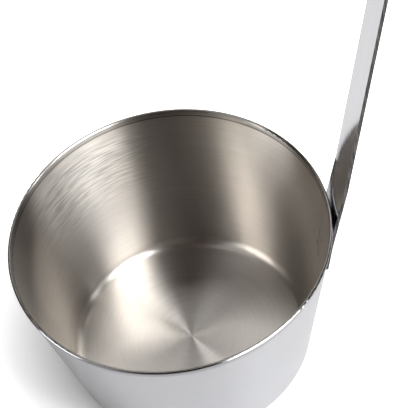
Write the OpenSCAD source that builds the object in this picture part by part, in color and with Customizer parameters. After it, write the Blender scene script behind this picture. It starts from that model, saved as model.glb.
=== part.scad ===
// Candle melting pot: a drawn steel cup with a long flat strap handle spot-welded to its side.
// Millimetres. +Z is up and the pot's axis, the origin is the centre of the flat base,
// and the handle is on the +X side.

/* [Cup] */
// Outside diameter of the lip
rim_d = 105; // [90:1:120]
// Height of the cup, from the flat base to the top of the lip
cup_h = 58.5; // [52:0.5:70]
// Outside diameter of the base, where the wall would meet it without the corner radius
base_d = 80; // [74:1:86]
// Thickness of the sheet
sheet_t = 0.8; // [0.6:0.1:1]
// Outside radius of the corner between wall and base
corner_r = 4.2; // [3:0.1:6]

/* [Lip] */
// Thickness of the rounded lip
lip_t = 1.2; // [1.1:0.1:1.3]
// Height of the lip band, measured along the wall
lip_band = 2.2; // [1.8:0.1:2.6]

/* [Handle strap] */
// Width of the strap
strap_w = 15; // [12:0.5:18]
// Thickness of the strap
strap_t = 1.2; // [1:0.1:1.6]
// How far the foot of the strap reaches below the lip, measured along the wall
foot_drop = 26; // [25:0.5:30]
// Length of the foot, which lies along the wall
foot_len = 13; // [13:0.5:15]
// Length of the stretch that leans out a little more than the wall, to clear the lip
step_len = 27; // [20:1:40]
// Angle that this stretch leans out from the wall
step_angle = 2.35; // [2:0.05:4]
// Length of the straight grip, from that stretch to the hook
grip_len = 127; // [90:1:160]
// Radius of the corners at the foot
foot_corner_r = 2; // [1:0.5:5]

/* [Hook] */
// Inside radius of the hook at the top of the handle
hook_r = 10; // [8:0.5:14]
// Length of the straight tail of the hook
tail_len = 15; // [8:0.5:20]
// Radius of the corners at the tip of the hook
tip_corner_r = 5; // [2:0.5:6]

/* [Spot welds] */
// Diameter of a weld nugget
nugget_d = 4.5; // [4:0.1:5]
// Depth that a nugget reaches into the cup wall
nugget_in_wall = 0.4; // [0.3:0.05:0.4]
// Depth that a nugget reaches into the strap
nugget_in_strap = 0.6; // [0.4:0.05:0.7]
// Distance of the lower weld from the end of the foot
weld_start = 3.5; // [3:0.1:3.6]
// Distance between the two welds
weld_pitch = 6.5; // [6:0.1:6.6]
// Diameter of the shallow mark that each welding electrode leaves
mark_d = 5.5; // [5:0.1:6]
// Depth of the electrode mark
mark_depth = 0.12; // [0.1:0.01:0.15]

/* [Hidden] */
$fn = 128;

// Gap between the foot of the strap and the wall, bridged by the weld nuggets
foot_gap = 0.1;
// The hook turns the strap right over, so its tail is parallel to the grip
half_turn = 180;
// Inside radius of the two gentle bends at the ends of the leaning stretch
step_bend_r = 12;
// Extra length of a cutter past the face that it cuts
past = 1;

// Centre of the lip's round top, measured from the foot of the wall's outside line.
// The lip stands proud of the sheet by the same amount inside and outside.
lip_run = rim_d / 2 - lip_t / 2 - base_d / 2;
lip_rise = cup_h - lip_t / 2;
// Angle of the wall from vertical: its outside line passes half a sheet outside that centre
taper = acos(-sheet_t / 2 / norm([lip_run, lip_rise])) - atan2(lip_rise, lip_run);
// Centre of the corner radius, as a distance from the axis
corner_x = base_d / 2 - corner_r * (1 - sin(taper)) / cos(taper);
// Distance along the wall from the corner to the centre of the lip's round top
lip_along = (lip_rise - corner_r + (corner_r - sheet_t / 2) * sin(taper)) / cos(taper);
// Distance along the wall from the corner to the end of the foot
foot_along = lip_along + lip_t / 2 - foot_drop;
weld_places = [weld_start, weld_start + weld_pitch];

// Flat frame of the cup's section: X is away from the wall, Y is up along it
module along_wall() {
    translate([corner_x, corner_r])
        rotate(-taper)
            children();
}

// Solid frame of the strap's foot: X is away from the wall, Z is up along it
module at_foot() {
    translate([corner_x, 0, corner_r])
        rotate([0, taper, 0])
            translate([corner_r + foot_gap, 0, foot_along])
                children();
}

// A part of a ring in the flat, between two angles that are at most a half turn apart
module ring_sector(inner_r, thickness, from_angle, to_angle) {
    outer_r = inner_r + thickness;
    difference() {
        circle(outer_r);
        circle(inner_r);
        rotate(from_angle)
            translate([-2 * outer_r, -2 * outer_r])
                square([4 * outer_r, 2 * outer_r]);
        rotate(to_angle)
            translate([-2 * outer_r, 0])
                square([4 * outer_r, 2 * outer_r]);
    }
}

module floor_section() {
    square([corner_x, sheet_t]);
}

module corner_section() {
    translate([corner_x, corner_r])
        ring_sector(corner_r - sheet_t, sheet_t, -90, -taper);
}

module wall_section() {
    along_wall()
        translate([corner_r - sheet_t, 0])
            square([sheet_t, lip_along]);
}

// The edge of the sheet is rolled over and pressed into a narrow band with a round top
module lip_section() {
    along_wall()
        translate([corner_r - sheet_t / 2, lip_along]) {
            circle(lip_t / 2);
            translate([-lip_t / 2, lip_t - lip_band])
                square([lip_t, lip_band - lip_t]);
            translate([0, lip_t - lip_band])
                circle(lip_t / 2);
        }
}

// The two nuggets' places, in the frame of the foot
module at_welds() {
    at_foot()
        for (z = weld_places)
            translate([0, 0, z])
                rotate([0, 90, 0])
                    children();
}

module nugget() {
    translate([0, 0, -foot_gap - nugget_in_wall])
        cylinder(d = nugget_d, h = nugget_in_wall + foot_gap + nugget_in_strap);
}

// The electrode marks: one on the inside of the wall, one on the outside of the strap
module wall_mark() {
    translate([0, 0, -foot_gap - sheet_t - past])
        cylinder(d = mark_d, h = past + mark_depth);
}

module strap_mark() {
    translate([0, 0, strap_t - mark_depth])
        cylinder(d = mark_d, h = past + mark_depth);
}

module cup() {
    color([0.78, 0.77, 0.75])
        difference() {
            rotate_extrude() {
                floor_section();
                corner_section();
                wall_section();
                lip_section();
            }
            at_welds() {
                nugget();
                wall_mark();
            }
        }
}

// A bend of the strap. It turns away from the wall when out is true, and back when it is false.
// What follows the bend is drawn in the frame at its end.
module strap_bend(inner_r, angle, out) {
    centre = out ? strap_t + inner_r : -inner_r;
    translate([centre, 0]) {
        if (out)
            ring_sector(inner_r, strap_t, 180 - angle, 180);
        else
            ring_sector(inner_r, strap_t, 0, angle);
        rotate(out ? -angle : angle)
            translate([-centre, 0])
                children();
    }
}

// A straight length of strap, and what follows it
module strap_run(length) {
    square([strap_t, length]);
    translate([0, length])
        children();
}

// Side view of the strap: up from its foot, out past the lip, up the grip and over the hook
module strap_section() {
    strap_run(foot_len)
        strap_bend(step_bend_r, step_angle, true)
            strap_run(step_len)
                strap_bend(step_bend_r, step_angle, false)
                    strap_run(grip_len)
                        strap_bend(hook_r, half_turn, true)
                            strap_run(tail_len);
}

// Moves what follows a bend to the frame at its end, as strap_bend does in the flat
module past_bend(inner_r, angle, out) {
    centre = out ? strap_t + inner_r : -inner_r;
    translate([centre, 0, 0])
        rotate([0, out ? angle : -angle, 0])
            translate([-centre, 0, 0])
                children();
}

// Frame of the hook's tip: X is the strap's thickness, and Z runs back up the tail
module at_tip() {
    translate([0, 0, foot_len])
        past_bend(step_bend_r, step_angle, true)
            translate([0, 0, step_len])
                past_bend(step_bend_r, step_angle, false)
                    translate([0, 0, grip_len])
                        past_bend(hook_r, half_turn, true)
                            translate([0, 0, tail_len])
                                mirror([0, 0, 1])
                                    children();
}

// What is cut away to round the two corners at the end of a strap that rises from the origin
module square_corners(r) {
    for (side = [0, 1])
        mirror([0, side, 0])
            difference() {
                translate([-past, strap_w / 2 - r, -past])
                    cube([strap_t + 2 * past, r + past, r + past]);
                translate([-2 * past, strap_w / 2 - r, r])
                    rotate([0, 90, 0])
                        cylinder(r = r, h = strap_t + 4 * past);
            }
}

module handle_strap() {
    color([0.85, 0.86, 0.9])
        difference() {
            at_foot()
                translate([0, strap_w / 2, 0])
                    rotate([90, 0, 0])
                        linear_extrude(strap_w)
                            strap_section();
            at_foot() {
                square_corners(foot_corner_r);
                at_tip()
                    square_corners(tip_corner_r);
            }
            at_welds() {
                nugget();
                strap_mark();
            }
        }
}

module weld_nuggets() {
    color([0.6, 0.6, 0.62])
        at_welds()
            nugget();
}

cup();
handle_strap();
weld_nuggets();
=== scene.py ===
"""Looks of the candle melting pot: camera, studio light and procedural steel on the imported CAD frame."""

import math

import bpy
from mathutils import Matrix, Vector


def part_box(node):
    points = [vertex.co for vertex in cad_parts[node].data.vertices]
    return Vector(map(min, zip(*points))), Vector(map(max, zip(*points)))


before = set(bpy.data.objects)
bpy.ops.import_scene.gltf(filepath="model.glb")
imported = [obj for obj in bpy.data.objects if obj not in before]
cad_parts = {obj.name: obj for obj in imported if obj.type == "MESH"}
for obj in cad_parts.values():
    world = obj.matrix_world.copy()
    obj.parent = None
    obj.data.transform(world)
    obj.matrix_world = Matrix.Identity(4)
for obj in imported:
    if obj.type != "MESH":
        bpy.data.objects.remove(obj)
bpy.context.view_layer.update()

MM = 0.001
# Range that nearly all values of a noise lie in, and narrower ones for a stronger contrast
NOISE_RANGE = (0.3, 0.7)
SCRATCH_RANGE = (0.32, 0.68)
PATCHY_RANGE = (0.35, 0.65)

# Camera in the CAD frame, in metres and degrees. Its lens and the width of its sensor are in millimetres.
CAMERA_PLACE = (0.0187, -0.4458, 0.6489)
CAMERA_AIM = (0.0123, 0.0550, 0.0)
CAMERA_ROLL = -11.57
CAMERA_LENS = 204.1
CAMERA_SENSOR = 36.0
CAMERA_NEAR = 0.05
CAMERA_FAR = 20.0

# The cup in section: the radius of the middle of the wall's sheet at the height of the base, how much that
# radius grows per metre of height, the middle of the floor's sheet, and the height where the lip begins
WALL_MIDDLE_AT_BASE = 39.59 * MM
WALL_SLOPE = 0.2126
FLOOR_MIDDLE = 0.4 * MM
LIP_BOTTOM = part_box("cup")[1].z - 2.1 * MM
# Least radius that a division by the radius uses
AXIS_CLEARANCE = 0.1 * MM

# Steel of the cup. The inside is duller than the outside, and warmer: that warmth is painted light,
# standing in for warm light bounced round inside the cup.
COOL_STEEL = (0.45, 0.454, 0.472, 1.0)
WARM_STEEL = (0.475, 0.453, 0.425, 1.0)
OUTSIDE_ROUGHNESS = 0.21
INSIDE_ROUGHNESS = 0.3
# How far the brushing takes the roughness and the tone to each side, and the scratches the tone.
# A tone multiplies the colour, so 1 leaves it as it is. PATCH_STRENGTH is the part of the scratches' tone
# that shows in the middle of the worn patch.
BRUSHED_ROUGHNESS = 0.015
BRUSHED_TONE = 0.05
SCRATCHED_TONE = 0.35
PATCH_STRENGTH = 0.8
# Painted shade: the lip is darker, to dim its highlight, and the crease under it darker still, from its
# core to its edge, as shade under the lip
LIP_SHADE_TONE = 0.7
CREASE_SHADE_TONE = 0.35
CREASE_CORE = 0.1 * MM
CREASE_EDGE = 0.45 * MM
# Half the width of the change from outside to inside, and from wall to lip
INSIDE_BLUR = 0.1 * MM
LIP_BLUR = 0.3 * MM

# Lines round the cup's axis: their pitch in metres and their length in radians. The rings are for the bump.
BRUSHING = (0.6 * MM, 0.6)
SCRATCHES = (0.75 * MM, 0.15)
RINGS = (1.4 * MM, 0.5)
RING_HEIGHT = 0.002 * MM

# Painted shade: the centre of the cup's floor is darker, standing in for the dimmer reflection there. That
# fades out as the radius plus CENTRE_LIFT times the height goes from the first length of CENTRE_FADE to the
# second.
CENTRE_SHADE_TONE = 0.64
CENTRE_FADE = (5 * MM, 26 * MM)
CENTRE_LIFT = 9.0

# The worn patch inside the cup: the angle of its middle from the handle, how far to each side it is whole
# and where it has faded out, in degrees, and the heights where it fades in and out
PATCH_AZIMUTH = 122
PATCH_WHOLE = 8
PATCH_GONE = 34
PATCH_LOW = (26 * MM, 40 * MM)
PATCH_HIGH = (50 * MM, 57 * MM)

# Steel of the strap: its pitches are along X, Y and Z
POLISH_PITCHES = (8 * MM, 0.5 * MM, 30 * MM)
TORN_PITCHES = (0.6 * MM, 1 * MM, 9 * MM)
# The sheared edges face +Y and -Y: the part of a normal along Y where they begin and where they are whole
EDGE_FACING = (0.6, 0.9)
DULLER_STRAP = (0.66, 0.66, 0.69, 1.0)
BRIGHTER_STRAP = (0.72, 0.72, 0.75, 1.0)
POLISHED_ROUGHNESS = (0.07, 0.13)
DARK_SHEARED = (0.04, 0.038, 0.038, 1.0)
LIGHT_SHEARED = (0.14, 0.135, 0.135, 1.0)
SHEARED_ROUGHNESS = 0.42
TORN_DEPTH = 0.02 * MM

# Steel of the welds
TINT_PITCH = 1.5 * MM
PIT_PITCH = 0.25 * MM
GREY_WELD = (0.42, 0.42, 0.44, 1.0)
STRAW_WELD = (0.5, 0.44, 0.33, 1.0)
WELD_ROUGHNESS = (0.38, 0.55)
PIT_DEPTH = 0.02 * MM

# The floor, the glow that the camera alone sees on it, and how far and how deep the pot shades that glow
FLOOR_HALF = 3.0
FLOOR_GREY = (0.5, 0.5, 0.5, 1.0)
FLOOR_ROUGHNESS = 0.9
FLOOR_GLOW = 1.1
SHADOW_REACH = 0.037
SHADOW_DEPTH = 2.7

# The dim room that the steel reflects, and the white backdrop that the camera alone sees
DIM_ROOM = (0.06, 0.042, 0.036, 1.0)
WHITE = (1.0, 1.0, 1.0, 1.0)

# Soft lights that face the pot, all at one distance. In each row: the name, the azimuth from +X towards +Y
# and the elevation in degrees, the width and height in metres, and the radiance.
LIGHT_TARGET = Vector((0.0, 0.0, 0.03))
LIGHT_DISTANCE = 1.5
SOFT_LIGHTS = (
    ("key_window", 332, 28, 1.15, 0.8, 13.0),
    ("key_top", 322, 58, 0.65, 0.5, 25.0),
    ("key_edge", 300, 16, 0.6, 0.75, 8.5),
    ("left_strip", 192, 10, 0.7, 0.45, 10.5),
    ("left_card", 200, 38, 1.0, 0.8, 1.1),
    ("fill_card", 230, 16, 0.6, 0.6, 0.16),
    ("top_left", 150, 70, 0.6, 0.35, 1.2),
    ("back_card", 85, 55, 0.5, 0.4, 2.3),
)


def link(obj):
    bpy.context.scene.collection.objects.link(obj)
    return obj


def aim(obj, place, target, roll=0.0):
    """Puts obj at place with its -Z axis towards target, then rolls it about that axis."""
    toward = Vector(target) - Vector(place)
    turn = toward.to_track_quat("-Z", "Y").to_matrix().to_4x4()
    spin = Matrix.Rotation(math.radians(roll), 4, "Z")
    obj.matrix_world = Matrix.Translation(place) @ turn @ spin


def cosine_of(degrees):
    return math.cos(math.radians(degrees))


def sine_of(degrees):
    return math.sin(math.radians(degrees))


class Nodes:
    """Short calls for building one material's node tree."""

    def __init__(self, name):
        self.material = bpy.data.materials.new(name)
        self.material.use_nodes = True
        self.tree = self.material.node_tree
        self.shader = self.tree.nodes["Principled BSDF"]

    def node(self, kind, **settings):
        made = self.tree.nodes.new(kind)
        for name, value in settings.items():
            setattr(made, name, value)
        return made

    def feed(self, socket, value):
        """Links a socket into another, or sets a number or colour on it."""
        if isinstance(value, bpy.types.NodeSocket):
            self.tree.links.new(value, socket)
        else:
            socket.default_value = value

    def shade(self, **values):
        """Feeds the shader's inputs, named in lower case with _ for a space."""
        for name, value in values.items():
            self.feed(self.shader.inputs[name.replace("_", " ").title()], value)

    def math(self, operation, *values):
        made = self.node("ShaderNodeMath", operation=operation)
        for socket, value in zip(made.inputs, values):
            self.feed(socket, value)
        return made.outputs[0]

    def product(self, first, *others):
        for other in others:
            first = self.math("MULTIPLY", first, other)
        return first

    def split(self, vector):
        made = self.node("ShaderNodeSeparateXYZ")
        self.feed(made.inputs[0], vector)
        return made.outputs

    def join(self, x, y, z):
        made = self.node("ShaderNodeCombineXYZ")
        for socket, value in zip(made.inputs, (x, y, z)):
            self.feed(socket, value)
        return made.outputs[0]

    def noise(self, where, scale=1.0, detail=2.0):
        """A noise with values from 0 to 1 at the point given."""
        made = self.node("ShaderNodeTexNoise")
        self.feed(made.inputs["Vector"], where)
        self.feed(made.inputs["Scale"], scale)
        self.feed(made.inputs["Detail"], detail)
        return made.outputs["Fac"]

    def grain(self, place, pitches, detail=2.0):
        """A noise with a pitch of its own along each axis: place and pitches are three values each."""
        parts = [self.math("DIVIDE", value, pitch) for value, pitch in zip(place, pitches)]
        return self.noise(self.join(*parts), detail=detail)

    def remap(self, value, from_low, from_high, to_low=0.0, to_high=1.0):
        made = self.node("ShaderNodeMapRange")
        for socket, number in zip(made.inputs, (value, from_low, from_high, to_low, to_high)):
            self.feed(socket, number)
        return made.outputs[0]

    def mix(self, factor, first, second):
        made = self.node("ShaderNodeMix", data_type="RGBA")
        self.feed(made.inputs["Factor"], factor)
        self.feed(made.inputs["A"], first)
        self.feed(made.inputs["B"], second)
        return made.outputs["Result"]

    def scaled(self, colour, factor):
        made = self.node("ShaderNodeVectorMath", operation="SCALE")
        self.feed(made.inputs[0], colour)
        self.feed(made.inputs["Scale"], factor)
        return made.outputs[0]

    def bump(self, height, distance):
        made = self.node("ShaderNodeBump")
        self.feed(made.inputs["Strength"], 1.0)
        self.feed(made.inputs["Distance"], distance)
        self.feed(made.inputs["Height"], height)
        return made.outputs[0]


class CupNodes(Nodes):
    """Nodes that know where on the cup a point is: its angle from the handle, radius and height."""

    def __init__(self, name):
        super().__init__(name)
        x, y, self.height = self.split(self.node("ShaderNodeTexCoord").outputs["Object"])
        squares = self.math("ADD", self.math("MULTIPLY", x, x), self.math("MULTIPLY", y, y))
        self.radius = self.math("SQRT", squares)
        safe_radius = self.math("MAXIMUM", self.radius, AXIS_CLEARANCE)
        self.cosine = self.math("DIVIDE", x, safe_radius)
        self.sine = self.math("DIVIDE", y, safe_radius)
        # Grows outward on the floor and upward on the wall
        self.run = self.math("ADD", self.radius, self.height)

    def lines(self, pitch, length, detail=1.0):
        """Lines round the axis, from 0 to 1, with a pitch in metres and a length in radians."""
        return self.grain((self.cosine, self.sine, self.run), (length, length, pitch), detail)

    def inside(self):
        """1 on the inside of the cup and 0 on its outside, parted at the middle of the sheet."""
        sheet_middle = self.math("MULTIPLY_ADD", self.height, WALL_SLOPE, WALL_MIDDLE_AT_BASE)
        in_from_wall = self.math("SUBTRACT", sheet_middle, self.radius)
        above_floor = self.math("SUBTRACT", self.height, FLOOR_MIDDLE)
        return self.remap(self.math("MINIMUM", in_from_wall, above_floor), -INSIDE_BLUR, INSIDE_BLUR)

    def worn_patch(self):
        """1 in the middle of the worn patch, fading to 0 round it."""
        across = self.math("MULTIPLY", self.cosine, cosine_of(PATCH_AZIMUTH))
        along = self.math("MULTIPLY", self.sine, sine_of(PATCH_AZIMUTH))
        toward = self.math("ADD", across, along)
        beside = self.remap(toward, cosine_of(PATCH_GONE), cosine_of(PATCH_WHOLE))
        above = self.remap(self.height, *PATCH_LOW)
        below = self.remap(self.height, *PATCH_HIGH, 1.0, 0.0)
        return self.product(beside, above, below)

    def painted_centre_shade(self):
        """Painted shade: darkens the centre of the cup's floor, standing in for its dimmer reflection."""
        reach = self.math("ADD", self.radius, self.math("MULTIPLY", self.height, CENTRE_LIFT))
        return self.remap(reach, *CENTRE_FADE, CENTRE_SHADE_TONE, 1.0)

    def painted_lip_shade(self):
        """Painted shade: darkens the rolled lip to dim its highlight, and more so the crease along its
        lower edge, as shade under the lip.
        """
        lip = self.remap(self.height, LIP_BOTTOM - LIP_BLUR, LIP_BOTTOM + LIP_BLUR, 1.0, LIP_SHADE_TONE)
        from_crease = self.math("ABSOLUTE", self.math("SUBTRACT", self.height, LIP_BOTTOM))
        crease = self.remap(from_crease, CREASE_CORE, CREASE_EDGE, CREASE_SHADE_TONE, 1.0)
        return self.product(lip, crease)


def cup_steel():
    """Satin steel, brushed round the axis: the lines run round the wall and in rings on the floor."""
    n = CupNodes("cup_steel_look")
    inside = n.inside()
    brushing = n.lines(*BRUSHING, detail=2.0)
    scratches = n.lines(*SCRATCHES)
    worn = n.product(n.worn_patch(), inside, PATCH_STRENGTH)
    brushed = n.remap(brushing, *NOISE_RANGE, 1.0 - BRUSHED_TONE, 1.0 + BRUSHED_TONE)
    scratch = n.remap(scratches, *SCRATCH_RANGE, -SCRATCHED_TONE, SCRATCHED_TONE)
    scratched = n.math("ADD", 1.0, n.math("MULTIPLY", worn, scratch))
    # Painted shade: the darker centre of the cup's floor
    # Painted shade: the darker lip and the crease under it
    tone = n.product(brushed, scratched, n.painted_centre_shade(), n.painted_lip_shade())
    satin = n.remap(inside, 0.0, 1.0, OUTSIDE_ROUGHNESS, INSIDE_ROUGHNESS)
    uneven = n.remap(brushing, *NOISE_RANGE, -BRUSHED_ROUGHNESS, BRUSHED_ROUGHNESS)
    # The inside's warmer steel colour is painted light, for the warm light bounced round inside the cup
    n.shade(
        base_color=n.scaled(n.mix(inside, COOL_STEEL, WARM_STEEL), tone),
        metallic=1.0,
        roughness=n.math("ADD", satin, uneven),
        anisotropic=0.95,
        anisotropic_rotation=0.25,
        tangent=n.node("ShaderNodeTangent", direction_type="RADIAL", axis="Z").outputs[0],
        normal=n.bump(n.lines(*RINGS, detail=0.0), RING_HEIGHT),
    )
    return n.material


def strap_steel():
    """Bright rolled steel with fine polishing lines along the strap, and rough grey sheared edges."""
    n = Nodes("strap_steel_look")
    coordinates = n.node("ShaderNodeTexCoord").outputs
    place = n.split(coordinates["Object"])
    facing = n.split(coordinates["Normal"])
    edge = n.remap(n.math("ABSOLUTE", facing["Y"]), *EDGE_FACING)
    polish = n.grain(place, POLISH_PITCHES)
    torn = n.grain(place, TORN_PITCHES)
    polished = n.mix(n.remap(polish, *NOISE_RANGE), DULLER_STRAP, BRIGHTER_STRAP)
    sheared = n.mix(n.remap(torn, *PATCHY_RANGE), DARK_SHEARED, LIGHT_SHEARED)
    smooth = n.remap(polish, *NOISE_RANGE, *POLISHED_ROUGHNESS)
    n.shade(
        base_color=n.mix(edge, polished, sheared),
        metallic=1.0,
        roughness=n.math("MAXIMUM", smooth, n.math("MULTIPLY", edge, SHEARED_ROUGHNESS)),
        normal=n.bump(n.math("MULTIPLY", torn, edge), TORN_DEPTH),
    )
    return n.material


def weld_steel():
    """Steel that was melted and pressed: dull and pitted, with a patchy straw-coloured heat tint."""
    n = Nodes("weld_steel_look")
    place = n.node("ShaderNodeTexCoord").outputs["Object"]
    tint = n.noise(place, scale=1 / TINT_PITCH)
    pits = n.noise(place, scale=1 / PIT_PITCH, detail=3.0)
    n.shade(
        base_color=n.mix(n.remap(tint, *PATCHY_RANGE), GREY_WELD, STRAW_WELD),
        metallic=1.0,
        roughness=n.remap(pits, *NOISE_RANGE, *WELD_ROUGHNESS),
        normal=n.bump(pits, PIT_DEPTH),
    )
    return n.material


def floor_look():
    """Matt grey, with a white glow for the camera alone that fades close to the pot."""
    n = Nodes("floor_look")
    open_sky = n.node("ShaderNodeAmbientOcclusion")
    n.feed(open_sky.inputs["Distance"], SHADOW_REACH)
    shadow = n.math("POWER", open_sky.outputs["AO"], SHADOW_DEPTH)
    seen = n.node("ShaderNodeLightPath").outputs["Is Camera Ray"]
    n.shade(
        base_color=FLOOR_GREY,
        roughness=FLOOR_ROUGHNESS,
        emission_color=WHITE,
        emission_strength=n.product(seen, shadow, FLOOR_GLOW),
    )
    return n.material


def dress(node, material):
    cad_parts[node].data.materials[0] = material


def add_camera():
    data = bpy.data.cameras.new("camera")
    data.sensor_width = CAMERA_SENSOR
    data.lens = CAMERA_LENS
    data.clip_start = CAMERA_NEAR
    data.clip_end = CAMERA_FAR
    camera = link(bpy.data.objects.new("camera", data))
    aim(camera, CAMERA_PLACE, CAMERA_AIM, CAMERA_ROLL)
    bpy.context.scene.camera = camera


def add_floor():
    mesh = bpy.data.meshes.new("floor")
    signs = ((-1, -1), (1, -1), (1, 1), (-1, 1))
    corners = [(x * FLOOR_HALF, y * FLOOR_HALF, 0.0) for x, y in signs]
    mesh.from_pydata(corners, [], [(0, 1, 2, 3)])
    mesh.materials.append(floor_look())
    link(bpy.data.objects.new("floor", mesh))


def add_softbox(name, azimuth, elevation, width, height, radiance):
    data = bpy.data.lights.new(name, "AREA")
    data.shape = "RECTANGLE"
    data.size = width
    data.size_y = height
    data.energy = radiance * math.pi * width * height
    light = link(bpy.data.objects.new(name, data))
    level = cosine_of(elevation)
    way = Vector((cosine_of(azimuth) * level, sine_of(azimuth) * level, sine_of(elevation)))
    aim(light, LIGHT_TARGET + way * LIGHT_DISTANCE, LIGHT_TARGET)


def add_backdrop():
    world = bpy.data.worlds.new("backdrop")
    world.use_nodes = True
    tree = world.node_tree
    backdrop = tree.nodes.new("ShaderNodeMix")
    backdrop.data_type = "RGBA"
    backdrop.inputs["A"].default_value = DIM_ROOM
    backdrop.inputs["B"].default_value = WHITE
    path = tree.nodes.new("ShaderNodeLightPath")
    tree.links.new(path.outputs["Is Camera Ray"], backdrop.inputs["Factor"])
    tree.links.new(backdrop.outputs["Result"], tree.nodes["Background"].inputs["Color"])
    bpy.context.scene.world = world
    bpy.context.scene.view_settings.view_transform = "Standard"


add_camera()
add_floor()
add_backdrop()
for soft_light in SOFT_LIGHTS:
    add_softbox(*soft_light)
dress("cup", cup_steel())
dress("handle_strap", strap_steel())
dress("weld_nuggets", weld_steel())
